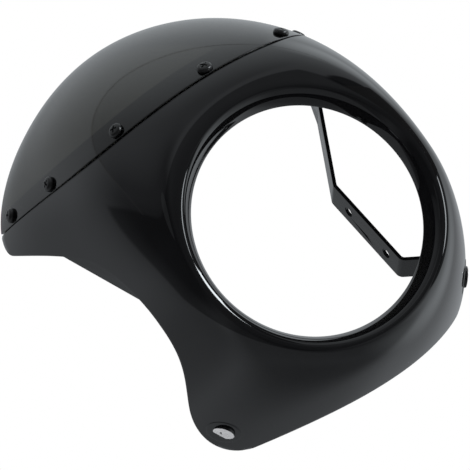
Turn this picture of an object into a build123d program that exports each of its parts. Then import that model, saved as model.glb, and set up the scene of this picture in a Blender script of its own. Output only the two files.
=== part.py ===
from build123d import *
from math import comb, cos, radians, sin, sqrt
import os

os.makedirs("parts", exist_ok=True)

# Headlight opening, in mm. Origin on its axis, X across, Y to the rear, Z up.
bore_radius = 89.0
bore_depth = 15.5
lip_roll = 9.5
bore_wall = 3.0

# Outer form: control values of smooth curves along the root of the depth.
nose_radius = bore_radius + lip_roll + 2.5
form_depth = 230.0
half_width = (nose_radius, 112.0, 119.5, 138.5, 163.5, 183.0)
crown = (nose_radius, 129.5, 144.0, 181.0, 229.0, 222.0)
belly = (nose_radius, 113.0, 125.0, 137.0, 148.0, 157.0)

# How full each section is: 0.552 gives an ellipse, more gives squarer shoulders.
ellipse = 0.552
shoulder = (ellipse, 0.83, 0.67, 0.68)
brow = (ellipse, 0.69, 0.51, 0.45)
fullness = (ellipse, 0.51, 0.615, 0.655)

# Walls, seam and the recessed flange that carries the screen.
wall = 3.2
screen_wall = 3.0
flange_wall = 2.5
flange_height = 18.0
flange_root = 6.0
seam_gap = 1.0
seam_middle = 130.9

# Chin edge seen from above: a parabola from the middle to the ears.
chin_depth = 61.0
chin_half_width = 101.0
chin_sweep = 65.0

# Rear edge seen from the side: curves of (depth, height) corners, from heel to top.
heel_curve = ((112.0, -121.0), (124.0, -117.5), (132.0, -113.0), (132.0, -106.0))
ear_curve = (heel_curve[-1], (131.5, -94.0), (116.0, -77.5), (98.0, -65.0))
low_arch_curve = (ear_curve[-1], (74.0, -48.3), (52.0, -35.0), (52.0, -5.0))
high_arch_curve = (low_arch_curve[-1], (52.0, 26.0), (72.0, 60.0), (104.0, 76.8))
wing_curve = (high_arch_curve[-1], (130.0, 91.0), (165.0, 104.5), (202.0, 116.8))
tip_curve = (wing_curve[-1], (209.0, 119.0), (216.0, 123.5), (222.0, 131.0))
side_curve = (tip_curve[-1], (228.0, 138.5), (234.0, 150.0), (234.0, 168.0))
top_curve = (side_curve[-1], (234.0, 190.0), (229.0, 215.0), (222.0, 240.0))

# Windscreen screws: half spacing across and rise above the seam, middle to rear.
screw_across = (0.0, 77.0, 119.4, 136.8)
screw_rise = (6.8, 7.6, 8.4, 9.3)
screw_radius = 2.5
screw_length = 16.0
screw_stack = 6.4
boss_radius = 7.0
head_radius = 6.0
head_height = 4.0
head_round = 2.6
recess_reach = 6.0
recess_width = 1.3
recess_depth = 1.8
nut_flats = 8.0
nut_height = 4.0
hole_clearance = 0.5
seat_depth = 0.25

# Ear bolts and the pads that they sit on.
bolt_depth = 108.0
bolt_height = -96.0
bolt_radius = 4.0
bolt_length = 17.0
bolt_head_radius = 8.5
bolt_head_height = 3.0
bolt_head_round = 1.2
socket_flats = 5.0
socket_depth = 2.0
pad_radius = 14.0
pad_proud = 0.9
pad_thickness = 5.3
bolt_nut_flats = 13.0
bolt_nut_height = 6.5

# Side brackets: flat steel strip from the ear bolt to the rearmost screw.
# Heights run along the strip from the bolt, and each arm leans out between two bends.
strip_width = 25.0
strip_thickness = 3.0
bend_radius = 5.0
fork_across = 82.3
fork_low = 38.2
right_arm = (123.5, 191.2)
left_arm = (109.2, 209.2)
arm_across = 119.5
foot_fold = 14.0
foot_reach = 12.0
end_round = 8.0
heel_rise = 14.0
clamp_hole_radius = 4.25
clamp_hole_low = 55.2
clamp_hole_spacing = 48.0


# Curves and points of the form

def curve(values, share):
    n = len(values) - 1
    return sum(comb(n, i) * v * share**i * (1 - share) ** (n - i) for i, v in enumerate(values))


def along(values, depth, inset=0.0):
    value = curve(values, sqrt(depth / form_depth))
    slope = (curve(values, sqrt((depth + 0.5) / form_depth)) - value) / 0.5
    return value - inset * sqrt(1 + slope**2)


def quarter(depth, inset, side):
    w = along(half_width, depth, inset)
    if side > 0:
        h = along(crown, depth, inset)
        return (w, 0), (w, along(shoulder, depth) * h), (along(brow, depth) * w, h), (0, h)
    h = along(belly, depth, inset)
    f = along(fullness, depth)
    return (w, 0), (w, -f * h), (f * w, -h), (0, -h)


def form_point(depth, share, side):
    corners = quarter(depth, 0.0, side)
    return Vector(curve([c[0] for c in corners], share), depth, curve([c[1] for c in corners], share))


def form_normal(depth, share, side):
    step = 0.001
    around = form_point(depth, share + step, side) - form_point(depth, share - step, side)
    back = form_point(depth + step, share, side) - form_point(depth - step, share, side)
    return around.cross(back).normalized() * -side


def solve(rising, low, high):
    for _ in range(50):
        middle = (low + high) / 2
        if rising(middle) > 0:
            high = middle
        else:
            low = middle
    return (low + high) / 2


def seam_height(across):
    q = (across / 100) ** 2
    return seam_middle - 9.1 * q + 6.0 * q**2


def crown_share(depth, across):
    return solve(lambda s: across - form_point(depth, s, 1).X, 0.0, 0.999)


def crown_above(depth, across):
    if along(half_width, depth) < across:
        return -form_depth
    return form_point(depth, crown_share(depth, across), 1).Z


def seat(point, normal):
    side_on = Vector(0, 1, 0).cross(normal)
    return Plane(origin=point, x_dir=side_on, z_dir=normal)


def screw_seat(across, rise):
    height = seam_height(across) + rise
    depth = solve(lambda d: crown_above(d, across) - height, 1.0, form_depth)
    share = crown_share(depth, across)
    normal = form_normal(depth, share, 1)
    return seat(form_point(depth, share, 1) - normal * seat_depth, normal)


def mirrored(plane):
    return seat(Vector(-plane.origin.X, plane.origin.Y, plane.origin.Z),
                Vector(-plane.z_dir.X, plane.z_dir.Y, plane.z_dir.Z))


right_seats = [screw_seat(a, r) for a, r in zip(screw_across, screw_rise)]
screw_seats = right_seats + [mirrored(p) for p in right_seats[1:]]

ear_share = solve(lambda s: bolt_height - form_point(bolt_depth, s, -1).Z, 0.0, 0.999)
ear_point = form_point(bolt_depth, ear_share, -1)
foot_seat = right_seats[-1].offset(-screw_stack)
strip_run = foot_seat.origin - ear_point
strip_up = Vector(0, strip_run.Y, strip_run.Z).normalized()
strip_across = Vector(0, strip_run.Z, -strip_run.Y).normalized()
ear_normal = form_normal(bolt_depth, ear_share, -1)
ear_normal = (ear_normal - strip_across * ear_normal.dot(strip_across)).normalized()
right_ear = seat(ear_point + ear_normal * pad_proud, ear_normal)
ear_seats = [right_ear, mirrored(right_ear)]


# Sketches shared by the shell and the screen

def form_section(depth, inset):
    with BuildSketch(Plane.XZ.offset(-depth)) as section:
        with BuildLine():
            Bezier(*quarter(depth, inset, 1))
            Bezier(*quarter(depth, inset, -1))
            mirror(about=Plane.YZ)
        make_face()
    return section.sketch


def form_sections(inset, first_depth):
    steps = [form_depth * (i / 10) ** 2 for i in range(11)]
    depths = [first_depth] + [d for d in steps if d > first_depth + 2] + [form_depth + 12]
    return [form_section(depth, inset) for depth in depths]


def seam_line(rise):
    return Spline(*[(40.0 * i - 160.0, seam_height(40.0 * i - 160.0) + rise) for i in range(9)])


def seam_sketch(low, high):
    with BuildSketch(Plane.XZ.offset(20)) as region:
        with BuildLine():
            top = seam_line(high) if high is not None else Line((-160, 260), (160, 260))
            bottom = seam_line(low) if low is not None else Line((-160, -180), (160, -180))
            Line(top @ 0, bottom @ 0)
            Line(top @ 1, bottom @ 1)
        make_face()
    return region.sketch


def rear_sketch():
    with BuildSketch(Plane.YZ) as region:
        with BuildLine():
            for corners in (heel_curve, ear_curve, low_arch_curve, high_arch_curve,
                            wing_curve, tip_curve, side_curve, top_curve):
                Bezier(*corners)
            Polyline(top_curve[-1], (280, 240), (280, -180), (heel_curve[0][0], -180), heel_curve[0])
        make_face()
    return region.sketch


seam_run = -(form_depth + 60)

# Shell: lower form, flange band under the screen, hollow inside, opening and ears
with BuildPart() as flange_form:
    loft(form_sections(screen_wall, 8.0))
    extrude(seam_sketch(-1.0, flange_height), amount=seam_run, mode=Mode.INTERSECT)

with BuildPart() as hollow_form:
    loft(form_sections(wall, 5.0))
    extrude(seam_sketch(None, -flange_root), amount=seam_run, mode=Mode.INTERSECT)

with BuildPart() as cowl_shell:
    loft(form_sections(0.0, 0.0))
    extrude(seam_sketch(None, 0.0), amount=seam_run, mode=Mode.INTERSECT)
    add(flange_form.part)
    add(hollow_form.part, mode=Mode.SUBTRACT)
    loft(form_sections(screen_wall + flange_wall, 8.0), mode=Mode.SUBTRACT)
    with Locations((0, bore_depth / 2 + 1.5, 0)):
        Cylinder(bore_radius + bore_wall, bore_depth - 3, rotation=(90, 0, 0))
    with BuildSketch(Plane.YZ):
        with BuildLine():
            Polyline((lip_roll, bore_radius), (60, bore_radius), (60, 0), (-10, 0),
                     (-10, bore_radius + lip_roll), (0, bore_radius + lip_roll))
            RadiusArc((0, bore_radius + lip_roll), (lip_roll, bore_radius), -lip_roll)
        make_face()
    revolve(axis=Axis.Y, mode=Mode.SUBTRACT)
    extrude(rear_sketch(), amount=200, both=True, mode=Mode.SUBTRACT)
    with BuildSketch(Plane.XY.offset(-80)):
        with BuildLine():
            chin = Bezier((-chin_half_width, chin_depth + chin_sweep), (0, chin_depth - chin_sweep),
                          (chin_half_width, chin_depth + chin_sweep))
            Polyline(chin @ 1, (150, 200), (-150, 200), chin @ 0)
        make_face()
    extrude(amount=-120, mode=Mode.SUBTRACT)
    with Locations(*ear_seats):
        Cylinder(pad_radius, pad_thickness, align=(Align.CENTER, Align.CENTER, Align.MAX))
        Hole(bolt_radius + hole_clearance / 2, 12)
    with Locations(*[p.offset(-screw_stack) for p in screw_seats]):
        Cylinder(boss_radius, screw_stack - screen_wall - 0.2, align=(Align.CENTER, Align.CENTER, Align.MIN))
    with Locations(*screw_seats):
        Hole(screw_radius + hole_clearance, 20)
cowl_shell.part.label = "cowl_shell"
export_step(cowl_shell.part, "parts/cowl_shell.step")

# Windscreen: upper form above the seam, with a flat seat and a hole for each screw
with BuildPart() as windscreen:
    loft(form_sections(0.0, 0.0))
    loft(form_sections(screen_wall, 8.0), mode=Mode.SUBTRACT)
    extrude(seam_sketch(seam_gap, None), amount=seam_run, mode=Mode.INTERSECT)
    extrude(rear_sketch(), amount=200, both=True, mode=Mode.SUBTRACT)
    with Locations(*screw_seats):
        Cylinder(head_radius + hole_clearance, 3, align=(Align.CENTER, Align.CENTER, Align.MIN), mode=Mode.SUBTRACT)
        Hole(screw_radius + hole_clearance, 20)
windscreen.part.label = "windscreen"
export_step(windscreen.part, "parts/windscreen.step")

# Windscreen screw and nut, drawn once on the seat plane
with BuildPart() as one_screw:
    Cylinder(head_radius, head_height, align=(Align.CENTER, Align.CENTER, Align.MIN))
    fillet(one_screw.edges().group_by(Axis.Z)[-1], head_round)
    with Locations((0, 0, head_height)):
        Box(recess_reach, recess_width, 2 * recess_depth, mode=Mode.SUBTRACT)
        Box(recess_width, recess_reach, 2 * recess_depth, mode=Mode.SUBTRACT)
    Cylinder(screw_radius, screw_length, align=(Align.CENTER, Align.CENTER, Align.MAX))

with BuildPart() as one_nut:
    with BuildSketch():
        RegularPolygon(nut_flats / 2, 6, major_radius=False)
        Circle(screw_radius, mode=Mode.SUBTRACT)
    extrude(amount=-nut_height)

with BuildPart() as screen_screws:
    with Locations(*screw_seats):
        add(one_screw.part)
screen_screws.part.label = "screen_screws"
export_step(screen_screws.part, "parts/screen_screws.step")

# The rearmost nuts sit on the bracket feet, the others on the flange bosses
rear_seats = [right_seats[-1], mirrored(right_seats[-1])]
front_seats = [p for p in screw_seats if p.origin.Y < right_seats[-1].origin.Y - 1]
with BuildPart() as screen_nuts:
    with Locations(*[p.offset(-screw_stack) for p in front_seats]):
        add(one_nut.part)
    with Locations(*[p.offset(-screw_stack - strip_thickness) for p in rear_seats]):
        add(one_nut.part)
screen_nuts.part.label = "screen_nuts"
export_step(screen_nuts.part, "parts/screen_nuts.step")

# Chrome ear bolt and its nut, drawn once on the pad plane
with BuildPart() as one_bolt:
    Cylinder(bolt_head_radius, bolt_head_height, align=(Align.CENTER, Align.CENTER, Align.MIN))
    fillet(one_bolt.edges().group_by(Axis.Z)[-1], bolt_head_round)
    with BuildSketch(Plane.XY.offset(bolt_head_height)):
        RegularPolygon(socket_flats / 2, 6, major_radius=False)
    extrude(amount=-socket_depth, mode=Mode.SUBTRACT)
    Cylinder(bolt_radius, bolt_length, align=(Align.CENTER, Align.CENTER, Align.MAX))

with BuildPart() as one_bolt_nut:
    with BuildSketch():
        RegularPolygon(bolt_nut_flats / 2, 6, major_radius=False)
        Circle(bolt_radius, mode=Mode.SUBTRACT)
    extrude(amount=-bolt_nut_height)

with BuildPart() as ear_bolts:
    with Locations(*ear_seats):
        add(one_bolt.part)
ear_bolts.part.label = "ear_bolts"
export_step(ear_bolts.part, "parts/ear_bolts.step")

with BuildPart() as ear_nuts:
    with Locations(*[p.offset(-pad_thickness - strip_thickness) for p in ear_seats]):
        add(one_bolt_nut.part)
ear_nuts.part.label = "ear_nuts"
export_step(ear_nuts.part, "parts/ear_nuts.step")

# Bracket: one strip bent flat from the ear pad past the fork leg to the rear screw
strip_home = Plane(origin=(0, ear_point.Y, ear_point.Z), x_dir=(1, 0, 0), z_dir=-strip_across)
ear_inside = right_ear.origin - ear_normal * (pad_thickness + strip_thickness / 2)
ear_middle = Vector(ear_inside.X, strip_home.to_local_coords(ear_inside).Y)
ear_along = Vector(-ear_normal.dot(strip_up), ear_normal.X)
foot_normal = foot_seat.z_dir
foot_width = (strip_across - foot_normal * strip_across.dot(foot_normal)).normalized()
foot_home = Plane(origin=foot_seat.origin, x_dir=foot_width, z_dir=foot_normal)
foot_inside = foot_seat.origin - foot_normal * (strip_thickness / 2)
foot_high = strip_home.to_local_coords(foot_inside).Y - foot_fold
fold_middle = strip_home.origin + strip_up * foot_high
foot_across = foot_normal.dot(foot_inside - fold_middle) / foot_normal.X
foot_drop = (foot_inside - Vector(foot_across, 0, 0) - fold_middle).length


def bracket(arm):
    with BuildPart() as strip:
        with BuildSketch(strip_home):
            with BuildLine() as path:
                Polyline(ear_middle - ear_along * foot_reach, ear_middle + ear_along * heel_rise,
                         (fork_across, fork_low), (fork_across, arm[0]), (arm_across, arm[1]),
                         (foot_across, foot_high), (2 * foot_across - arm_across, 2 * foot_high - arm[1]))
                fillet(path.vertices().sort_by(Axis.Y)[1:-2], bend_radius)
            trace(line_width=strip_thickness)
        extrude(amount=strip_width / 2, both=True)
        for side in (-1, 1):
            corner = strip_home.from_local_coords(ear_middle - ear_along * foot_reach)
            corner = corner + strip_across * (side * strip_width / 2)
            fillet(strip.edges().sort_by_distance(corner)[0], end_round)
        with BuildSketch(foot_home):
            Rectangle(3 * strip_width, 4 * strip_width)
        extrude(amount=80, mode=Mode.SUBTRACT)
        with BuildSketch(foot_home) as foot:
            with Locations((0, foot_reach)):
                Rectangle(strip_width, foot_reach + foot_drop, align=(Align.CENTER, Align.MAX))
            fillet(foot.vertices().group_by(Axis.Y)[-1], end_round)
        extrude(amount=-strip_thickness)
        with Locations(foot_home):
            Hole(screw_radius + hole_clearance, 20)
        with Locations(right_ear):
            Hole(bolt_radius + hole_clearance / 2, 20)
        for height in (clamp_hole_low, clamp_hole_low + clamp_hole_spacing):
            with Locations(strip_home):
                with Locations(Location((fork_across, height, 0), (0, 90, 0))):
                    Hole(clamp_hole_radius, 10)
    return strip.part


right_strip = bracket(right_arm)
with BuildPart() as right_bracket:
    add(right_strip)
right_bracket.part.label = "right_bracket"
export_step(right_bracket.part, "parts/right_bracket.step")

left_strip = bracket(left_arm)
with BuildPart() as left_bracket:
    mirror(left_strip, about=Plane.YZ)
left_bracket.part.label = "left_bracket"
export_step(left_bracket.part, "parts/left_bracket.step")
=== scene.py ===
import math

import bmesh
import bpy
import numpy as np
from mathutils import Matrix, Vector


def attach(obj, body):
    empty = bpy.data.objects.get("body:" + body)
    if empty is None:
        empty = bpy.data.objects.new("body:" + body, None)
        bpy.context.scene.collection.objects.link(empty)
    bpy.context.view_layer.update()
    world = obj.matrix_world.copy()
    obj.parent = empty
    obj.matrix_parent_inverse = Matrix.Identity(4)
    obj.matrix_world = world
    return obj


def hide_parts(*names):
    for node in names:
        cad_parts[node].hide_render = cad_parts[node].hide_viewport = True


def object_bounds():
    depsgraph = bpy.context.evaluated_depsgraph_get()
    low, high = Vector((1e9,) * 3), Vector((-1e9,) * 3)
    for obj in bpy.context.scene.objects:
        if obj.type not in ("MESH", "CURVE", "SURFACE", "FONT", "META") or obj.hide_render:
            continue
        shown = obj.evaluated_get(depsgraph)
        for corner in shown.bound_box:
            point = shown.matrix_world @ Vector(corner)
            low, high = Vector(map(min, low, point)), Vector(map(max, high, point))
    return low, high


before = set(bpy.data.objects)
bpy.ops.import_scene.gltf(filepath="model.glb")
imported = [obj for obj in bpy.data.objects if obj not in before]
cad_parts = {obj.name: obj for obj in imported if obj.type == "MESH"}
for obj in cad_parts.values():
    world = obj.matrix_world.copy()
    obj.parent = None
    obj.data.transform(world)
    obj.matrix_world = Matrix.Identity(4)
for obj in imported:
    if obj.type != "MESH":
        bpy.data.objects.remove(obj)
cadLow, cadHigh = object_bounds()
print("frame loaded:", ", ".join(sorted(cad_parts)))


# The moulded form, in mm: X across, Y from the nose to the rear, Z up
form = dict(
    depth=230.0,
    halfWidth=(101.0, 112.0, 119.5, 138.5, 163.5, 183.0),
    crown=(101.0, 129.5, 144.0, 181.0, 229.0, 222.0),
    belly=(101.0, 113.0, 125.0, 137.0, 148.0, 157.0),
    shoulder=(0.552, 0.83, 0.67, 0.68),  # how far each section stays upright at its sides
    brow=(0.552, 0.69, 0.51, 0.45),  # how far it stays level over the crown
    fullness=(0.552, 0.51, 0.615, 0.655),  # the same for the underside
    lean=0.09,  # how far the mesh columns lean up at the rear
    seam=(130.9, -9.1, 6.0),  # height of the screen's seam over (x / 100) squared
    chin=(61.0, 65.0, 101.0),  # chin edge from above: depth, sweep, half width
    chinBelow=-80.0,  # the height under which the chin edge counts
    search=(6.0, 241.0),  # depths between which an edge is looked for
    noSeam=400.0,  # a rise over the seam that no point reaches
    rearEdge=(  # rear edge from the side, (depth, height), heel to top
        ((112, -121), (124, -117.5), (132, -113), (132, -106)),
        ((132, -106), (131.5, -94), (116, -77.5), (98, -65)),
        ((98, -65), (74, -48.3), (52, -35), (52, -5)),
        ((52, -5), (52, 26), (72, 60), (104, 76.8)),
        ((104, 76.8), (130, 91), (165, 104.5), (202, 116.8)),
        ((202, 116.8), (209, 119), (216, 123.5), (222, 131)),
        ((222, 131), (228, 138.5), (234, 150), (234, 168)),
        ((234, 168), (234, 190), (229, 215), (222, 240)),
    ),
)


def blend(values, share):  # Bernstein sum: each control value weighted by its binomial bump
    n = len(values) - 1
    return sum(math.comb(n, i) * v * share**i * (1 - share) ** (n - i) for i, v in enumerate(values))


def along(values, depth, inset=0.0):  # the curve over the root of the depth, pulled in square to its slope
    value = blend(values, np.sqrt(depth / form["depth"]))
    slope = (blend(values, np.sqrt((depth + 0.5) / form["depth"])) - value) / 0.5
    return value - inset * np.sqrt(1 + slope**2)


# Each section is four cubic quarters: turn 0 right, 1 top, 2 left, 3 bottom.
# x = w (b0 + b1 + brow b2), z = h (shoulder b1 + b2 + b3), with b the cubic Bernstein bumps.
def formPoint(turn, depth, inset=0.0):
    turn, depth = np.broadcast_arrays(np.mod(turn, 4.0), np.asarray(depth, float))
    quarter = np.floor(turn)
    t = np.where(quarter % 2 == 0, turn - quarter, 1 - turn + quarter)
    upper = quarter < 2
    w = along(form["halfWidth"], depth, inset)
    h = np.where(upper, along(form["crown"], depth, inset), -along(form["belly"], depth, inset))
    full = along(form["fullness"], depth)
    side = np.where(upper, along(form["shoulder"], depth), full)
    top = np.where(upper, along(form["brow"], depth), full)
    b0, b1, b2, b3 = (1 - t) ** 3, 3 * t * (1 - t) ** 2, 3 * t**2 * (1 - t), t**3
    x = w * (b0 + b1 + top * b2) * np.where((quarter == 0) | (quarter == 3), 1, -1)
    return np.stack([x, depth, h * (side * b1 + b2 + b3)], -1)


def columnPoint(turn, depth, inset=0.0):
    # along a mesh column: its turn grows with the depth squared, so that it crosses the seam only once
    turn = np.mod(turn, 4.0)
    lean = np.where(turn < 2, np.sin(np.pi * turn), 0) * form["lean"]
    return formPoint(turn + lean * (np.asarray(depth) / form["depth"]) ** 2, depth, inset)


def seamHeight(x):  # even powers of the distance across, so that both sides match
    a, b, c = form["seam"]
    q = (x / 100) ** 2
    return a + b * q + c * q**2


share = np.linspace(0, 1, 41)[:-1]
edgeLine = np.concatenate([
    np.stack([blend([c[k] for c in corners], share) for k in (0, 1)], -1) for corners in form["rearEdge"]
])


def rearDepth(z):  # depth of the rear edge at a height, read off its line of points
    return np.interp(z, edgeLine[:, 1], edgeLine[:, 0])


def overrun(p, rise, room):  # how far a point has passed the seam, the rear edge or the chin edge
    x, y, z = p[..., 0], p[..., 1], p[..., 2]
    base, sweep, half = form["chin"]
    chin = np.where(z < form["chinBelow"], y - base - sweep * (x / half) ** 2, -99)
    return np.maximum.reduce([z - seamHeight(x) - rise, y - rearDepth(z), chin]) + room


def trimDepth(turn, inset=0.0, rise=0.0, room=0.0):  # halving: the depth at which a column leaves the piece
    low, high = [np.full(np.shape(turn), depth) for depth in form["search"]]
    for _ in range(36):
        mid = (low + high) / 2
        out = overrun(columnPoint(turn, mid, inset), rise, room) > 0
        low, high = np.where(out, low, mid), np.where(out, mid, high)
    return low


def spaced(turns, points, count, closed):
    # turns re-spread so that the columns stand evenly along these points, or along two rows of them together
    step = np.linalg.norm(np.diff(points, axis=0), axis=-1)
    if points.ndim == 3:
        step = step.sum(-1)
    run = np.concatenate([[0], np.cumsum(step)])
    want = np.linspace(0, run[-1], count + 1)[:-1] if closed else np.linspace(0, run[-1], count)
    return np.interp(want, run, turns)


# Meshes
def gridFaces(rows, cols, wrapRows, wrapCols):  # quads between neighbouring rows and columns
    r = np.arange(rows if wrapRows else rows - 1)
    c = np.arange(cols if wrapCols else cols - 1)
    r, c = np.meshgrid(r, c, indexing="ij")
    r2, c2 = (r + 1) % rows, (c + 1) % cols
    return np.stack([r * cols + c, r2 * cols + c, r2 * cols + c2, r * cols + c2], -1).reshape(-1, 4)


def makePiece(name, parts, material, node, sharp=None, poles=False, marks=None):
    # parts: (points in mm, quads) pairs laid into one mesh by whole arrays
    points = np.concatenate([p.reshape(-1, 3) for p, _ in parts]) / 1000
    starts = np.cumsum([0] + [p.size // 3 for p, _ in parts[:-1]])
    quads = np.concatenate([f + s for (_, f), s in zip(parts, starts)])
    mesh = bpy.data.meshes.new(name)
    mesh.vertices.add(len(points))
    mesh.vertices.foreach_set("co", points.astype(np.float32).ravel())
    mesh.loops.add(quads.size)
    mesh.loops.foreach_set("vertex_index", quads.astype(np.int32).ravel())
    mesh.polygons.add(len(quads))
    mesh.polygons.foreach_set("loop_start", np.arange(0, quads.size, 4, dtype=np.int32))
    mesh.polygons.foreach_set("use_smooth", np.ones(len(quads), bool))
    mesh.update(calc_edges=True)
    if marks:  # 1 where the back of the moulding is left rough
        inside = np.concatenate([np.ravel(m) for m in marks]).astype(np.float32)
        mesh.attributes.new("inside", "FLOAT", "POINT").data.foreach_set("value", inside)
    if poles:  # the many points of a pole become one
        bm = bmesh.new()
        bm.from_mesh(mesh)
        bmesh.ops.remove_doubles(bm, verts=bm.verts, dist=1e-6)
        bm.to_mesh(mesh)
        bm.free()
    mesh.validate()
    if sharp:
        mesh.set_sharp_from_angle(angle=math.radians(sharp))
    obj = bpy.data.objects.new(name, mesh)
    bpy.context.scene.collection.objects.link(obj)
    mesh.materials.append(material)
    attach(obj, "root")
    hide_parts(node)
    return obj


def roundEdge(outer, inner, before, bulge, count, closed=False):
    # eased edge from the outer skin to the inner one: a half turn, its sine and cosine raised to a low power
    a = np.linspace(0, np.pi, count + 2)[1:-1][:, None, None]
    c, s = np.sign(np.cos(a)) * np.abs(np.cos(a)) ** 0.45, np.sin(a) ** 0.45  # squarish, corners eased
    run = np.roll(outer, -1, 0) - np.roll(outer, 1, 0) if closed else np.gradient(outer, axis=0)
    push = np.cross(run, outer - inner)  # square to the edge, in the skin
    push = push / np.maximum(np.linalg.norm(push, axis=-1, keepdims=True), 1e-6)
    push = push * np.sign(((outer - before) * push).sum(-1, keepdims=True))
    return (outer + inner) / 2 + (outer - inner) / 2 * c + push * bulge * s


# Materials
def linear(hexText):  # sRGB hex to linear
    c = np.array([int(hexText[i:i + 2], 16) for i in (1, 3, 5)]) / 255
    c = np.where(c <= 0.04045, c / 12.92, ((c + 0.055) / 1.055) ** 2.4)
    return (*[float(v) for v in c], 1.0)


def newMaterial(name):  # an empty node tree to fill
    material = bpy.data.materials.new(name)
    material.use_nodes = True
    tree = material.node_tree
    tree.nodes.clear()
    return material, tree


def addNode(tree, kind, links=(), **settings):  # values go on sockets by name, links are (socket, source)
    node = tree.nodes.new(kind)
    for key, value in settings.items():
        if key in node.bl_rna.properties:
            setattr(node, key, value)
        else:
            node.inputs[key.replace("_", " ")].default_value = value
    for socket, source in links:
        tree.links.new(source, node.inputs[socket])
    return node


def blackGelcoat():
    # polished polyester gelcoat over moulded glass fibre: deep black, mirror gloss, a faint long ripple from
    # the mould; the inside is left as it was laid up, matt and dark grey
    material, tree = newMaterial("polished_black_gelcoat")
    swell, orangePeel = 0.030, 0.0022  # m
    place = addNode(tree, "ShaderNodeTexCoord").outputs["Object"]
    ripple = addNode(tree, "ShaderNodeTexNoise", [("Vector", place)], Scale=1 / swell, Detail=1.0)
    peel = addNode(tree, "ShaderNodeTexNoise", [("Vector", place)], Scale=1 / orangePeel, Detail=2.0)
    tone = addNode(tree, "ShaderNodeValToRGB", [("Fac", ripple.outputs["Fac"])])
    tone.color_ramp.elements[0].color = linear("#070708")
    tone.color_ramp.elements[1].color = linear("#0e0e10")
    back = addNode(tree, "ShaderNodeValToRGB", [("Fac", peel.outputs["Fac"])])
    back.color_ramp.elements[0].color = linear("#262628")
    back.color_ramp.elements[1].color = linear("#343436")
    gloss = addNode(tree, "ShaderNodeMapRange", [("Value", peel.outputs["Fac"])])
    gloss.inputs["To Min"].default_value, gloss.inputs["To Max"].default_value = 0.02, 0.05
    inside = addNode(tree, "ShaderNodeAttribute", attribute_name="inside").outputs["Fac"]
    colour = addNode(tree, "ShaderNodeMix", [
        (0, inside), (6, tone.outputs["Color"]), (7, back.outputs["Color"]),
    ], data_type="RGBA")
    matt = addNode(tree, "ShaderNodeMix", [(0, inside), (2, gloss.outputs["Result"])])
    matt.inputs[3].default_value = 0.6  # roughness of the inside
    bump = addNode(tree, "ShaderNodeBump", [("Height", peel.outputs["Fac"])], Strength=0.05, Distance=0.00003)
    skin = addNode(tree, "ShaderNodeBsdfPrincipled", [
        ("Base Color", colour.outputs[2]), ("Roughness", matt.outputs[0]), ("Normal", bump.outputs["Normal"]),
    ], IOR=1.52)
    addNode(tree, "ShaderNodeOutputMaterial", [("Surface", skin.outputs["BSDF"])])
    return material


def smokeAcrylic():
    # heat-formed cast acrylic, dark smoke tint: almost black, glass-smooth, a breath of light comes through
    material, tree = newMaterial("smoke_cast_acrylic")
    place = addNode(tree, "ShaderNodeTexCoord").outputs["Object"]
    unevenness = 0.060  # m, from the forming
    draw = addNode(tree, "ShaderNodeTexNoise", [("Vector", place)], Scale=1 / unevenness, Detail=1.0)
    tone = addNode(tree, "ShaderNodeValToRGB", [("Fac", draw.outputs["Fac"])])
    tone.color_ramp.elements[0].color = linear("#1c1c19")
    tone.color_ramp.elements[1].color = linear("#22221e")
    gloss = addNode(tree, "ShaderNodeMapRange", [("Value", draw.outputs["Fac"])])
    gloss.inputs["To Min"].default_value, gloss.inputs["To Max"].default_value = 0.04, 0.07
    skin = addNode(tree, "ShaderNodeBsdfPrincipled", [
        ("Base Color", tone.outputs["Color"]), ("Roughness", gloss.outputs["Result"]),
    ], IOR=1.49, Transmission_Weight=1.0)
    addNode(tree, "ShaderNodeOutputMaterial", [("Surface", skin.outputs["BSDF"])])
    return material


def coatedSteel(name, dark, light, low, high, grain, depth):
    # steel under a thin black coat: satin, with a fine even grain from the coat's grit
    material, tree = newMaterial(name)
    place = addNode(tree, "ShaderNodeTexCoord").outputs["Object"]
    grit = addNode(tree, "ShaderNodeTexNoise", [("Vector", place)], Scale=1 / grain, Detail=3.0)
    tone = addNode(tree, "ShaderNodeValToRGB", [("Fac", grit.outputs["Fac"])])
    tone.color_ramp.elements[0].color = linear(dark)
    tone.color_ramp.elements[1].color = linear(light)
    gloss = addNode(tree, "ShaderNodeMapRange", [("Value", grit.outputs["Fac"])])
    gloss.inputs["To Min"].default_value, gloss.inputs["To Max"].default_value = low, high
    bump = addNode(tree, "ShaderNodeBump", [("Height", grit.outputs["Fac"])], Strength=0.3, Distance=depth)
    skin = addNode(tree, "ShaderNodeBsdfPrincipled", [
        ("Base Color", tone.outputs["Color"]), ("Roughness", gloss.outputs["Result"]),
        ("Normal", bump.outputs["Normal"]),
    ], IOR=1.5)
    addNode(tree, "ShaderNodeOutputMaterial", [("Surface", skin.outputs["BSDF"])])
    return material


def platedSteel(name, dark, light, low, high, grain, metal=1.0):
    # plated steel: the plate's own colour in the mirror, with faint polishing haze; one that was blasted
    # before plating scatters the light instead, so it is given a low share of metal
    material, tree = newMaterial(name)
    place = addNode(tree, "ShaderNodeTexCoord").outputs["Object"]
    haze = addNode(tree, "ShaderNodeTexNoise", [("Vector", place)], Scale=1 / grain, Detail=3.0)
    tone = addNode(tree, "ShaderNodeValToRGB", [("Fac", haze.outputs["Fac"])])
    tone.color_ramp.elements[0].color = linear(dark)
    tone.color_ramp.elements[1].color = linear(light)
    gloss = addNode(tree, "ShaderNodeMapRange", [("Value", haze.outputs["Fac"])])
    gloss.inputs["To Min"].default_value, gloss.inputs["To Max"].default_value = low, high
    skin = addNode(tree, "ShaderNodeBsdfPrincipled", [
        ("Base Color", tone.outputs["Color"]), ("Roughness", gloss.outputs["Result"]),
    ], Metallic=metal)
    addNode(tree, "ShaderNodeOutputMaterial", [("Surface", skin.outputs["BSDF"])])
    return material


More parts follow.
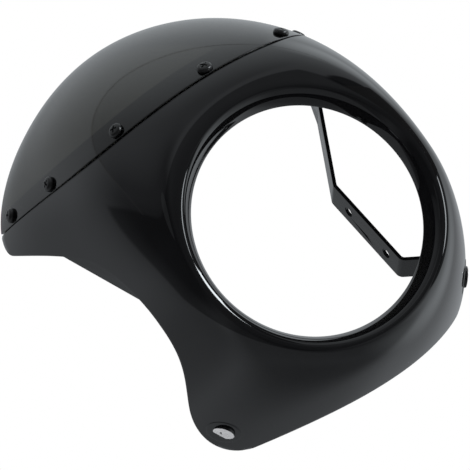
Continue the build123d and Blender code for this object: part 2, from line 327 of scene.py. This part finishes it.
gelcoat = blackGelcoat()
acrylic = smokeAcrylic()
screwCoat = coatedSteel("black_oxide_steel", "#0b0b0c", "#151516", 0.22, 0.34, 0.0006, 0.00002)
powderCoat = coatedSteel("gloss_black_painted_steel", "#08080a", "#101012", 0.10, 0.16, 0.004, 0.000001)
chrome = platedSteel("satin_chrome_plated_steel", "#e6e7ea", "#f6f6f8", 0.14, 0.24, 0.002, metal=0.2)
zinc = platedSteel("zinc_plated_steel", "#9fa09c", "#c3c3bd", 0.28, 0.42, 0.0015)
print("materials made")


# Seats of the screws and bolts, worked out from the form as the solids are
screws = dict(across=(0.0, 77.0, 119.4, 136.8), rise=(6.8, 7.6, 8.4, 9.3), seatDepth=0.25, stack=6.4)
bolts = dict(
    depth=108.0, height=-96.0, proud=0.9, pad=0.35,
    padRings=(0, 5, 9, 12, 13.2, 13.6, 13.85, 14, 14, 9, 5, 0),  # radius of each ring of a pad
    padSinks=(-1, -1, -1, -1, -1, -0.9, -0.6, 0, 6, 6, 6, 6),  # how deep it lies, in pad heights
    headDepth=108.4, headHeight=-94.4, headRise=0.3, headOut=(0.787, -0.130, -0.604),
)


def halve(rising, low, high):  # halving, on whole arrays at once
    for _ in range(44):
        mid = (low + high) / 2
        out = rising(mid) > 0
        low, high = np.where(out, low, mid), np.where(out, mid, high)
    return (low + high) / 2


def formNormal(turn, depth):  # square to the form, outward
    e = 1e-3
    around = formPoint(turn + e, depth) - formPoint(turn - e, depth)
    back = formPoint(turn, depth + e) - formPoint(turn, depth - e)
    n = np.cross(back, around)
    return n / np.linalg.norm(n, axis=-1, keepdims=True)


def seatFrames(origin, normal):  # rows: origin, side, other side, normal
    side = np.cross((0.0, 1.0, 0.0), normal)
    side = side / np.linalg.norm(side, axis=-1, keepdims=True)
    return np.stack([origin, side, np.cross(normal, side), normal], -2)


def mirrored(frames):  # the same seats on the other side
    flipped = frames * np.array([-1.0, 1.0, 1.0])
    flipped[..., 1, :] *= -1  # stays right-handed
    return flipped


def screwSeats():
    # where each screw's distance across and height over the seam meet the form, found by halving
    x = np.array(screws["across"])
    z = seamHeight(x) + np.array(screws["rise"])
    ones = np.ones(x.shape)

    def turnAt(depth):  # where a section has this distance across
        return halve(lambda t: x - formPoint(t, depth)[..., 0], 0.001 * ones, ones)

    def above(depth):  # how far the form stands over the screw's height
        wide = along(form["halfWidth"], depth) > x
        return np.where(wide, formPoint(turnAt(depth), depth)[..., 2] - z, -1)

    depth = halve(above, ones, form["depth"] * ones)
    turn = turnAt(depth)
    n = formNormal(turn, depth)
    return seatFrames(formPoint(turn, depth) - n * screws["seatDepth"], n)


def earAt(depth, height):  # turn, point and outward square of a place on the right ear
    turn = halve(lambda t: formPoint(t, depth)[..., 2] - height, np.array(3.0), np.array(4.0))
    return turn, formPoint(turn, depth), formNormal(turn, depth)


_, earPoint, earOut = earAt(bolts["depth"], bolts["height"])
padTurn, padPoint, padOut = earAt(bolts["headDepth"], bolts["headHeight"])


def earSeat(footOrigin):
    # the bolt's axis: square to the form, then laid square to the strap's width
    run = footOrigin - earPoint
    width = np.array([0.0, run[2], -run[1]]) / math.hypot(run[1], run[2])  # across the strap that it clamps
    n = earOut - width * (earOut @ width)
    n = n / np.linalg.norm(n)
    return seatFrames(earPoint + n * bolts["proud"], n)


rightSeats = screwSeats()
footOrigin = rightSeats[-1, 0] - rightSeats[-1, 3] * screws["stack"]
rightEar = earSeat(footOrigin)
screwFrames = np.concatenate([rightSeats, mirrored(rightSeats[1:])])
earFrames = np.stack([rightEar, mirrored(rightEar)])
rightPad = seatFrames(padPoint, padOut)
headOut = np.array(bolts["headOut"]) / np.linalg.norm(bolts["headOut"])
rightHead = seatFrames(padPoint + padOut * (bolts["pad"] + bolts["headRise"]), headOut)
headFrames = np.stack([rightHead, mirrored(rightHead)])


# A turned surface: rings of radius r at height h over a seat; dip lowers it by a function of place.
def turned(seat, r, h, columns, spin=0.0, dip=None):
    a = np.linspace(0, 2 * np.pi, columns + 1)[:-1] + spin
    r, h = np.asarray(r, float)[:, None], np.asarray(h, float)[:, None]
    x, y = r * np.cos(a), r * np.sin(a)
    h = h - (dip(x, y, h, spin) if dip else 0) + 0 * x
    origin, side, other, normal = seat
    points = origin + x[..., None] * side + y[..., None] * other + h[..., None] * normal
    return points, gridFaces(len(r), columns, False, True)


def bevel(t, soft):  # smooth step from 0 to 1 over the softness, centred on nought
    t = np.clip(t / soft + 0.5, 0, 1)
    return t * t * (3 - 2 * t)


# Cowl shell
shell = dict(
    boreRadius=89.0, lipDepth=15.7, lipSlope=20.0, noseRadius=101.0, lipRound=0.77, noseFace=5.0,
    mouthOut=(1.5, 0.6, 0.18, 0.03), mouthBack=(0.45, 0.45, 0.3, 0.12),  # the hole's corner past the lip
    behindOut=(10.5, 8.2, 5.3, 3.4, 2.7), behindMid=(8.0, 12.0),  # the lip's back, over the hole's radius
    wall=3.2, edgeBulge=0.5, columns=480, formRows=64, innerRows=34, edgeRows=8,
    screenWall=3.0, flangeWall=2.5, flangeHeight=18.0, flangeRoot=6.0, flangeEdge=0.6,
    flangeColumns=220, flangeRows=9, flangeTopRows=3,
)


def shellGrid():
    # one closed loop per column: tight corner of the lamp's hole, rolled lip (a leaning quarter of a
    # superellipse: powers of sine and cosine), outer form to the trimmed edge, eased edge, inner form back to
    # the nose, and behind the lip to the start
    s = shell
    fine = np.linspace(0, 4, 6001)
    rim = columnPoint(fine, trimDepth(fine, room=s["edgeBulge"]))
    ring = columnPoint(fine, 0.0) * 0.5
    turn = spaced(fine, np.stack([rim, ring], 1), s["columns"], True)
    end = trimDepth(turn, room=s["edgeBulge"])
    endIn = trimDepth(turn, inset=s["wall"], room=s["edgeBulge"])
    nose = columnPoint(turn, 0.0)
    spoke = nose / np.linalg.norm(nose, axis=-1, keepdims=True)

    def rings(depths, radii):  # circles about the lamp axis
        depths, radii = np.asarray(depths)[:, None, None], np.asarray(radii)[:, None, None]
        return radii * spoke + depths * np.array([0, 1, 0])

    bore, long = s["boreRadius"], s["lipDepth"]
    lean = long * math.tan(math.radians(s["lipSlope"]))
    a = np.pi / 2 * np.linspace(0, 1, 41)[:-1] ** 1.2
    rise, fall = np.sin(a) ** s["lipRound"], 1 - np.cos(a) ** s["lipRound"]
    lip = rings(long * (1 - rise), bore + lean * rise + (s["noseRadius"] - bore - lean) * fall)
    mouth = rings(long + np.array(s["mouthBack"]), bore + np.array(s["mouthOut"]))
    k = np.linspace(0, 1, s["formRows"])[:, None]
    outer = columnPoint(turn, end * k**2)
    k = np.linspace(1, 0, s["innerRows"])[:, None]
    low = np.sqrt(s["noseFace"])
    inner = columnPoint(turn, (low + (np.sqrt(endIn) - low) * k) ** 2, s["wall"])
    edge = roundEdge(outer[-1], inner[0], outer[-2], s["edgeBulge"], s["edgeRows"], True)
    behind = [s["noseFace"] + 0.2, *s["behindMid"], long - 0.2, long + 0.2]
    closing = rings(behind, bore + np.array(s["behindOut"]))
    loop = np.concatenate([mouth, lip, outer, edge, inner, closing])
    return loop, gridFaces(len(loop), len(turn), True, True)


def flangeGrid():
    # the set-back band behind the screen: up its outer face, over a rounded top, down its inner face
    s = shell
    fine = np.linspace(0, 2, 4001)
    free = trimDepth(fine, s["screenWall"], rise=form["noSeam"])
    held = columnPoint(fine, free)[:, 2] > seamHeight(columnPoint(fine, free)[:, 0]) - s["flangeRoot"]
    fine = np.linspace(fine[held][0], fine[held][-1], 2001)
    turn = spaced(fine, columnPoint(fine, trimDepth(fine, s["screenWall"])), s["flangeColumns"], False)
    outIn, inIn = s["screenWall"] + 0.05, s["screenWall"] + s["flangeWall"]

    def line(inset, rise):  # along the band, at a height over the seam
        return columnPoint(turn, trimDepth(turn, inset, rise=rise, room=s["flangeEdge"]), inset)

    rising = np.linspace(-2, s["flangeHeight"], s["flangeRows"])
    falling = np.linspace(s["flangeHeight"], -s["flangeRoot"], s["flangeRows"] + 1)
    up = np.array([line(outIn, rise) for rise in rising])
    down = np.array([line(inIn, rise) for rise in falling])
    foot = np.array([line(i, -s["flangeRoot"]) for i in (inIn - 0.8, outIn)])
    top = roundEdge(up[-1], down[0], up[-3], s["flangeEdge"], s["flangeTopRows"])
    loop = np.concatenate([up, top, down, foot])
    return loop, gridFaces(len(loop), len(turn), True, False)


def padGrid():
    # a low round land on the form: each ring's place on the tangent plane, made into steps of turn and depth
    e, columns = 1e-3, 96
    depth, side, other = bolts["headDepth"], rightPad[1], rightPad[2]
    around = (formPoint(padTurn + e, depth) - formPoint(padTurn - e, depth)) / (2 * e)
    back = (formPoint(padTurn, depth + e) - formPoint(padTurn, depth - e)) / (2 * e)
    steps = np.linalg.inv(np.array([[around @ side, back @ side], [around @ other, back @ other]]))
    a = np.linspace(0, 2 * np.pi, columns + 1)[:-1]
    r = np.array(bolts["padRings"])[:, None]
    inset = np.array(bolts["padSinks"])[:, None] * bolts["pad"]
    x, y = r * np.cos(a), r * np.sin(a)
    turn = padTurn + steps[0, 0] * x + steps[0, 1] * y
    points = formPoint(turn, depth + steps[1, 0] * x + steps[1, 1] * y, inset)
    return points, gridFaces(len(r), columns, False, True)


def capEnds(loop, quads, outerRows):  # closes a band's first and last column, outer row to inner row
    rows, cols = loop.shape[:2]
    a = np.arange(outerRows - 1)
    b = rows - 1 - a
    strip = np.stack([a, a + 1, b - 1, b], -1)
    strip = strip[(strip[:, 1] < strip[:, 2])]
    return np.concatenate([quads, (strip * cols)[:, ::-1], strip * cols + cols - 1])


shellLoop, shellQuads = shellGrid()
flangeLoop, flangeQuads = flangeGrid()
flangeQuads = capEnds(flangeLoop, flangeQuads, len(flangeLoop) // 2)
padPoints, padQuads = padGrid()
pads = [(padPoints, padQuads), (padPoints * np.array([-1.0, 1.0, 1.0]), padQuads[:, ::-1])]
boss = dict(radius=7.0, inner=6.6, top=-3.4, edge=-6.1, foot=-6.4, columns=48)
bossRadii = [0, boss["radius"], boss["radius"], boss["inner"], 0]
bossHeights = [boss["top"], boss["top"], boss["edge"], boss["foot"], boss["foot"]]
bosses = [turned(f, bossRadii, bossHeights, boss["columns"]) for f in screwFrames]
shellParts = [(shellLoop, shellQuads), (flangeLoop, flangeQuads)] + pads + bosses
shellMark, flangeMark = np.zeros(shellLoop.shape[:2]), np.zeros(flangeLoop.shape[:2])
shellMark[-shell["innerRows"] - len(shell["behindOut"]):] = 1  # the inner form and the rings behind the lip
flangeMark[shell["flangeRows"] + shell["flangeTopRows"]:] = 1  # the band's inner face
shellMarks = [shellMark, flangeMark]
shellMarks += [np.zeros(p.shape[:2]) for p, _ in pads] + [np.ones(p.shape[:2]) for p, _ in bosses]
shellPiece = makePiece(
    "cowl_shell_skin", shellParts, gelcoat, "cowl_shell",
    sharp=40, poles=True, marks=shellMarks,
)
print("shell:", len(shellPiece.data.polygons), "faces")


# Windscreen
screen = dict(wall=3.0, gap=1.15, edgeBulge=0.45, columns=260, rows=90, edgeRows=8)


def screenGrid():
    # the form above the seam: each column from the seam to the rear edge, both skins and two eased edges
    s = screen
    fine = np.linspace(0, 2, 6001)
    back = trimDepth(fine, rise=form["noSeam"], room=s["edgeBulge"])
    backPoint = columnPoint(fine, back)
    above = backPoint[:, 2] > seamHeight(backPoint[:, 0]) + s["gap"] + 2 * s["edgeBulge"] + 0.4
    fine = np.linspace(fine[above][0], fine[above][-1], 4001)
    rear = columnPoint(fine, trimDepth(fine, rise=form["noSeam"], room=s["edgeBulge"]))
    front = columnPoint(fine, trimDepth(fine, rise=s["gap"], room=-s["edgeBulge"]))
    turn = spaced(fine, np.stack([rear, front], 1), s["columns"], False)

    def skin(inset):
        far = trimDepth(turn, inset, rise=form["noSeam"], room=s["edgeBulge"])
        near = np.minimum(trimDepth(turn, inset, rise=s["gap"], room=-s["edgeBulge"]), far - 0.2)
        k = np.linspace(0, 1, s["rows"])[:, None]
        return columnPoint(turn, (np.sqrt(near) + (np.sqrt(far) - np.sqrt(near)) * k) ** 2, inset)

    outer, inner = skin(0.0), skin(s["wall"])[::-1]
    rearEdge = roundEdge(outer[-1], inner[0], outer[-2], s["edgeBulge"], s["edgeRows"])
    seamEdge = roundEdge(inner[-1], outer[0], inner[-2], s["edgeBulge"], s["edgeRows"])
    half = s["edgeRows"] // 2
    loop = np.concatenate([seamEdge[half:], outer, rearEdge, inner, seamEdge[:half]])
    quads = gridFaces(len(loop), len(turn), True, False)
    return loop, capEnds(loop, quads, s["rows"] + s["edgeRows"])


screenPiece = makePiece("windscreen_sheet", [screenGrid()], acrylic, "windscreen", sharp=60)
print("screen:", len(screenPiece.data.polygons), "faces")


# Brackets and nuts keep their solids' shape, with the sharp corners eased
def easedCopy(name, node, material, ease):
    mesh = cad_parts[node].data.copy()
    mesh.name = name
    bm = bmesh.new()
    bm.from_mesh(mesh)
    bmesh.ops.remove_doubles(bm, verts=bm.verts, dist=0.00002)
    bm.to_mesh(mesh)
    bm.free()
    mesh.polygons.foreach_set("use_smooth", np.ones(len(mesh.polygons), bool))
    mesh.set_sharp_from_angle(angle=math.radians(30))
    mesh.materials.clear()
    mesh.materials.append(material)
    obj = bpy.data.objects.new(name, mesh)
    bpy.context.scene.collection.objects.link(obj)
    corner = obj.modifiers.new("eased corners", "BEVEL")
    corner.width, corner.segments = ease / 1000, 3
    corner.limit_method, corner.angle_limit = "ANGLE", math.radians(40)
    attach(obj, "root")
    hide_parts(node)
    return obj


easedCopy("right_bracket_strip", "right_bracket", powderCoat, 0.7)
easedCopy("left_bracket_strip", "left_bracket", powderCoat, 0.7)
easedCopy("screen_nut_set", "screen_nuts", zinc, 0.3)
easedCopy("ear_nut_set", "ear_nuts", zinc, 0.4)


# Screws: pan head with a cross recess, threaded shank
screwShape = dict(
    head=6.0, height=4.0, flat=3.4, crown=0.3, reach=3.0, slot=0.65, recess=1.9, taper=0.45,
    shank=2.45, length=16.0, pitch=0.9, thread=0.16, threadFrom=-10.2, threadTo=-15.4, threadStep=0.15,
    spins=(0.5, 0.2, 1.1, 0.75, 0.35, 0.9, 1.3), columns=112,
)


def crossDip(x, y, h, spin):
    # two crossed slots, deepest in the middle, only in the head's top face
    s = screwShape
    c, n = math.cos(spin), math.sin(spin)
    u, v = x * c + y * n, y * c - x * n
    slot = lambda a, b: bevel(s["slot"] - np.abs(a), 0.3) * bevel(s["reach"] - np.abs(b), 0.4)
    deep = s["recess"] * (1 - s["taper"] * np.hypot(u, v) / s["reach"])
    return np.where(h > s["height"] - 0.5, np.maximum(slot(u, v), slot(v, u)) * deep, 0)


def screwGrid(seat, spin):
    # a profile turned about the axis: a top that falls by the radius squared, quarter-round edge, underside,
    # plain shank, and a sine along the axis in place of the thread
    s = screwShape
    top = np.linspace(0, s["flat"], 22)
    a = np.linspace(0, np.pi / 2, 9)[1:]
    fillet = s["head"] - s["flat"]
    low = np.arange(s["threadFrom"], s["threadTo"], -s["threadStep"])
    r = np.concatenate([
        top, s["flat"] + fillet * np.sin(a), [s["head"], s["head"] - 0.3, 2.6, s["shank"], s["shank"]],
        s["shank"] + s["thread"] * np.sin(2 * np.pi * low / s["pitch"]), [s["shank"], 1.9, 0],
    ])
    h = np.concatenate([
        s["height"] + s["crown"] * (1 - (top / s["flat"]) ** 2), s["height"] - fillet + fillet * np.cos(a),
        [0.3, 0.0, 0.0, -0.1, -10.0], low, [0.5 - s["length"], -s["length"], -s["length"]],
    ])
    return turned(seat, r, h, s["columns"], spin, crossDip)


screwParts = [screwGrid(f, spin) for f, spin in zip(screwFrames, screwShape["spins"])]
makePiece("screen_screw_set", screwParts, screwCoat, "screen_screws", sharp=50, poles=True)


# Ear bolts: bright low head with a hexagon socket, on a black collar
boltShape = dict(
    head=8.4, edge=0.6, rise=0.25, socket=2.8, deep=1.3, spin=0.3, columns=96,
    shank=4.0, length=17.0, pitch=1.25, threadFrom=-9.0, threadStep=0.15, shankColumns=64,
    collar=8.5, collarHole=4.2, collarTop=0.45, collarFoot=-2.2,
)


def socketDip(x, y, h, spin):
    # six flat sides: the largest of three projections against half the distance across flats
    s = boltShape
    turns = (spin, spin + np.pi / 3, spin + 2 * np.pi / 3)
    reach = np.maximum.reduce([np.abs(x * math.cos(k) + y * math.sin(k)) for k in turns])
    return np.where(h > s["edge"], bevel(s["socket"] - reach, 0.3) * s["deep"], 0)


def boltGrid(seat, spin):
    # a profile turned about the axis: a top that falls by the radius squared, eased edge, flat underside
    s = boltShape
    q = np.concatenate([np.linspace(0, 0.4, 24), np.linspace(0.42, 0.97, 16)])
    a = np.linspace(0, np.pi / 2, 5)
    r = np.concatenate([
        q * s["head"], s["head"] - 0.25 + 0.25 * np.sin(a), [s["head"], s["head"] - 0.3, 3.0, 0],
    ])
    h = np.concatenate([
        s["edge"] + s["rise"] * (1 - q**2), s["edge"] - 0.15 + 0.2 * np.cos(a), [0.4, 0.2, -0.8, -0.8],
    ])
    return turned(seat, r, h, s["columns"], spin, socketDip)


def collarGrid(seat):
    # a flat ring turned about the axis, its top edge eased
    s = boltShape
    rim, hole, top, foot = s["collar"], s["collarHole"], s["collarTop"], s["collarFoot"]
    r = [hole, rim - 0.3, rim, rim, hole, hole]
    h = [top, top, top - 0.25, foot, foot, top]
    return turned(seat, r, h, s["columns"])


def shankGrid(seat):
    # a profile turned about the axis: plain shank, then a sine along the axis in place of the thread
    s = boltShape
    low = np.arange(s["threadFrom"], 1.0 - s["length"], -s["threadStep"])
    thread = s["shank"] - 0.1 + 0.2 * np.sin(2 * np.pi * low / s["pitch"])
    r = np.concatenate([[0, s["shank"], s["shank"]], thread, [s["shank"] - 0.7, 0]])
    h = np.concatenate([[-0.4, -0.4, -8.9], low, [-s["length"], -s["length"]]])
    return turned(seat, r, h, s["shankColumns"])


boltParts = [boltGrid(f, boltShape["spin"]) for f in headFrames] + [shankGrid(f) for f in earFrames]
makePiece("ear_bolt_set", boltParts, chrome, "ear_bolts", sharp=50, poles=True)
collarParts = [collarGrid(f) for f in headFrames]
makePiece("ear_collar_set", collarParts, screwCoat, "ear_bolts", sharp=50, poles=True)
print("brackets and fasteners made")


# Camera, floor and light
view = dict(
    focal=3005.5, frame=470.0,  # pixels
    sensor=36.0,  # mm
    right=(0.8024, -0.2251, -0.5527), down=(-0.4972, 0.2600, -0.8278), ahead=(0.3300, 0.9390, 0.0967),
    offset=(57.87, -15.33, 2218.2),  # the part's origin seen from the camera, mm
)
axes = np.array([view["right"], view["down"], view["ahead"]])
u, _, v = np.linalg.svd(axes)
axes = u @ v  # squared up
eye = -axes.T @ np.array(view["offset"]) / 1000
camera = bpy.data.cameras.new("studio camera")
camera.sensor_width = view["sensor"]
camera.sensor_fit = "HORIZONTAL"
camera.lens = view["focal"] / view["frame"] * view["sensor"]
camera.clip_start, camera.clip_end = 0.05, 60.0
cameraObject = bpy.data.objects.new("studio camera", camera)
placed = np.eye(4)
placed[:3, 0], placed[:3, 1], placed[:3, 2], placed[:3, 3] = axes[0], -axes[1], -axes[2], eye
cameraObject.matrix_world = Matrix(placed.tolist())
bpy.context.scene.collection.objects.link(cameraObject)
bpy.context.scene.camera = cameraObject


def sheetAt(name, centre, sideA, sideB, material):  # a flat rectangle from its middle and two half sides
    c, a, b = np.array(centre), np.array(sideA), np.array(sideB)
    mesh = bpy.data.meshes.new(name)
    corners = np.array([c - a - b, c + a - b, c + a + b, c - a + b])
    mesh.from_pydata(corners.tolist(), [], [(0, 1, 2, 3)])
    obj = bpy.data.objects.new(name, mesh)
    mesh.materials.append(material)
    bpy.context.scene.collection.objects.link(obj)
    return obj


# matt pale paint: the floor takes the light evenly. It is seen from above only, because the photograph was
# taken from below the part's own level.
floorHalf = 6.0  # m
floorPaint, tree = newMaterial("pale_studio_floor")
pale = addNode(tree, "ShaderNodeBsdfDiffuse", Color=linear("#f4f4f4"))
clear = addNode(tree, "ShaderNodeBsdfTransparent")
under = addNode(tree, "ShaderNodeNewGeometry").outputs["Backfacing"]
sides = [(0, under), (1, pale.outputs["BSDF"]), (2, clear.outputs["BSDF"])]
both = addNode(tree, "ShaderNodeMixShader", sides)
addNode(tree, "ShaderNodeOutputMaterial", [("Surface", both.outputs["Shader"])])
floor = sheetAt("floor", (0, 0, cadLow[2]), (floorHalf, 0, 0), (0, floorHalf, 0), floorPaint)
floor.visible_glossy = False

# A cloth tent round the part, which only polished surfaces see. Its cloth dims the white surround, round
# flags dim it more and softboxes glow. Each card: azimuth and height of its middle, full and faded half
# angle, share, glow, and where it is cut off: full and faded height above, faded and full height below.
# Angles are in degrees; azimuth 0 is before the nose and 90 toward +X, the right as seen from the front.
tent = dict(
    radius=3.0, rings=33, meridians=64,
    cloth=(0.485, 0.51, 0.535),  # what comes through it, linear
    glow=(0.9, 0.96, 1.0),  # daylight lamps, a little blue
    seam=(-2, 52, 69.55, 69.95),  # azimuth and height of its axis, inner and outer half angle
    seamFrom=28, seamTo=152, seamSteps=97, seamIn=0.1,
    cards=(
        (165, 52, 8, 45, 0.14, 0.0, None, None),  # over the screen
        (-2, 52, 69.4, 70.0, 0.25, 0.0, None, (38, 46)),  # high, within the seam
        (175, 10, 40, 62, 0.33, 0.0, (28, 40), None),  # behind
        (-160, -50, 10, 35, 0.3, 0.0, None, None),  # behind and below
        (-112, -11, 5, 25, 0.3, 0.0, None, None),  # on the left
        (108, -20, 5, 18, 0.38, 0.0, None, None),  # on the right
        (81, -37, 1, 52, 1.0, 1.65, None, None),  # wide softbox, low on the right
        (119, 45, 2, 58, 0.85, 0.71, None, None),  # wide softbox, high on the right
        (-42, -69, 42, 58, 0.43, 0.0, None, None),  # below the chin
        (57, -1, 27, 29, 0.84, 0.0, None, None),  # right of the nose
        (-9, -10, 22, 45, 0.51, 0.0, None, None),  # before the nose
        (-38, 29.7, 69.7, 71.5, 0.56, 0.0, (32.4, 34.9), None),  # dark front, with an edge on the left flank
        (-67, 38, 35, 56, 0.77, 0.0, (31.8, 90), None),  # upper left
        (43, -6, 7, 8, 1.0, 8.0, None, None),  # small softbox, a line on the right of the lip
        (112, 28, 2, 20, 0.36, 2.1, None, None),  # small softbox, top of the right edge
        (-37, 30, 8, 9.2, 0.15, 1.1, None, None),  # faint streak left of the lamp's hole
        (56, 16, 19, 20, 1.0, 20.0, (11.2, 12), (2, 3)),  # strip lamp, a sliver low on the left of the lip
    ),
)


def sine(degrees):
    return math.sin(math.radians(degrees))


def cosine(degrees):
    return math.cos(math.radians(degrees))


def toward(azimuth, height):  # unit vector from two angles
    return np.array([cosine(height) * sine(azimuth), -cosine(height) * cosine(azimuth), sine(height)])


def hangTent():
    # a full ball: rings at equal heights, meridians at equal turns
    rings, meridians = tent["rings"], tent["meridians"]
    heights = np.linspace(0.001, np.pi - 0.001, rings)
    turns = np.linspace(0, 2 * np.pi, meridians + 1)[:-1]
    t, a = np.meshgrid(heights, turns, indexing="ij")
    points = np.stack([np.sin(t) * np.cos(a), np.sin(t) * np.sin(a), np.cos(t)], -1) * tent["radius"]
    mesh = bpy.data.meshes.new("tent")
    mesh.from_pydata(points.reshape(-1, 3).tolist(), [], gridFaces(rings, meridians, False, True).tolist())
    material, tree = newMaterial("studio_tent_cloth")
    place = addNode(tree, "ShaderNodeTexCoord").outputs["Object"]
    unit = addNode(tree, "ShaderNodeVectorMath", [(0, place)], operation="NORMALIZE").outputs["Vector"]

    def fade(axis, start, end, high):  # smooth step of the angle from an axis
        near = addNode(tree, "ShaderNodeVectorMath", [(0, unit)], operation="DOT_PRODUCT")
        near.inputs[1].default_value = axis.tolist()
        step = addNode(tree, "ShaderNodeMapRange", [("Value", near.outputs["Value"])])
        step.interpolation_type = "SMOOTHSTEP"
        for socket, value in (("From Min", start), ("From Max", end), ("To Max", high)):
            step.inputs[socket].default_value = value
        return step.outputs["Result"]

    through = addNode(tree, "ShaderNodeRGB")
    through.outputs[0].default_value = (*tent["cloth"], 1)
    through = through.outputs[0]
    glow = addNode(tree, "ShaderNodeValue").outputs[0]
    up = np.array([0.0, 0.0, 1.0])
    for azimuth, height, full, faded, share, light, upper, lower in tent["cards"]:
        amount = fade(toward(azimuth, height), cosine(faded), cosine(full), share)
        cuts = [fade(-up, -sine(upper[1]), -sine(upper[0]), 1.0)] if upper else []
        cuts += [fade(up, sine(lower[0]), sine(lower[1]), 1.0)] if lower else []
        for cut in cuts:
            amount = addNode(tree, "ShaderNodeMath", [(0, amount), (1, cut)], operation="MULTIPLY").outputs[0]
        left = addNode(tree, "ShaderNodeMath", [(1, amount)], operation="SUBTRACT")
        left.inputs[0].default_value = 1.0
        dimmed = [(0, through), ("Scale", left.outputs[0])]
        through = addNode(tree, "ShaderNodeVectorMath", dimmed, operation="SCALE").outputs["Vector"]
        kept = addNode(tree, "ShaderNodeMath", [(0, glow), (1, left.outputs[0])], operation="MULTIPLY")
        glow = addNode(tree, "ShaderNodeMath", [(0, amount), (2, kept.outputs[0])], operation="MULTIPLY_ADD")
        glow.inputs[1].default_value = light
        glow = glow.outputs[0]
    clear = addNode(tree, "ShaderNodeBsdfTransparent", [("Color", through)])
    lit = addNode(tree, "ShaderNodeEmission", [("Strength", glow)], Color=(*tent["glow"], 1.0))
    both = addNode(tree, "ShaderNodeAddShader", [(0, clear.outputs["BSDF"]), (1, lit.outputs["Emission"])])
    addNode(tree, "ShaderNodeOutputMaterial", [("Surface", both.outputs["Shader"])])
    mesh.materials.append(material)
    obj = bpy.data.objects.new("tent", mesh)
    bpy.context.scene.collection.objects.link(obj)
    return obj


tentBall = hangTent()


def studioFelt(name, level):
    # dark felt in the studio: an even dim grey in a reflection, at a set share of the white surround
    material, tree = newMaterial(name)
    felt = addNode(tree, "ShaderNodeEmission", Strength=level)
    addNode(tree, "ShaderNodeOutputMaterial", [("Surface", felt.outputs["Emission"])])
    return material


flag = dict(centre=(0.148, -0.026, 0.03), sideA=(-0.013, 0, 0.055), sideB=(0.028, 0.025, 0))  # m
dimFelt = studioFelt("dim_felt", 0.1)
seamFelt = studioFelt("tent_seam_felt", 0.24)
noseFlag = sheetAt("nose flag", flag["centre"], flag["sideA"], flag["sideB"], dimFelt)


def hangSeam():
    # a dark seam in the tent: an arc of a circle about an axis, drawn out into a narrow band
    azimuth, height, inner, outer = tent["seam"]
    axis = toward(azimuth, height)
    side = np.cross(axis, (0.0, 0.0, 1.0))
    side = side / np.linalg.norm(side)
    up = np.cross(side, axis)
    reach = np.linspace(tent["seamFrom"], tent["seamTo"], tent["seamSteps"])
    a, w = np.meshgrid(np.radians(reach), np.radians([inner, outer]), indexing="ij")
    spoke = np.cos(a)[..., None] * side + np.sin(a)[..., None] * up
    points = np.cos(w)[..., None] * axis + np.sin(w)[..., None] * spoke
    points = points * (tent["radius"] - tent["seamIn"])
    mesh = bpy.data.meshes.new("tent seam")
    quads = gridFaces(tent["seamSteps"], 2, False, False)
    mesh.from_pydata(points.reshape(-1, 3).tolist(), [], quads.tolist())
    mesh.materials.append(seamFelt)
    obj = bpy.data.objects.new("tent seam", mesh)
    bpy.context.scene.collection.objects.link(obj)
    return obj


tentSeam = hangSeam()
for card in (tentBall, noseFlag, tentSeam):
    card.visible_camera = card.visible_diffuse = card.visible_transmission = card.visible_shadow = False
print("tent hung")

surround = dict(seen=1.0, lights=0.8)  # how bright it is to the eye and in mirrors, and as a lamp
world = bpy.data.worlds.new("white surround")
world.use_nodes = True
bpy.context.scene.world = world
tree = world.node_tree
tree.nodes.clear()
path = addNode(tree, "ShaderNodeLightPath")
either = [(0, path.outputs["Is Camera Ray"]), (1, path.outputs["Is Glossy Ray"])]
seen = addNode(tree, "ShaderNodeMath", either, operation="MAXIMUM")
either = [(0, seen.outputs[0]), (1, path.outputs["Is Transmission Ray"])]
seen = addNode(tree, "ShaderNodeMath", either, operation="MAXIMUM")
power = addNode(tree, "ShaderNodeMapRange", [("Value", seen.outputs[0])])
power.inputs["To Min"].default_value = surround["lights"]
power.inputs["To Max"].default_value = surround["seen"]
white = addNode(tree, "ShaderNodeBackground", [("Strength", power.outputs["Result"])], Color=(1, 1, 1, 1))
addNode(tree, "ShaderNodeOutputWorld", [("Surface", white.outputs["Background"])])

bpy.context.scene.view_settings.view_transform = "Standard"
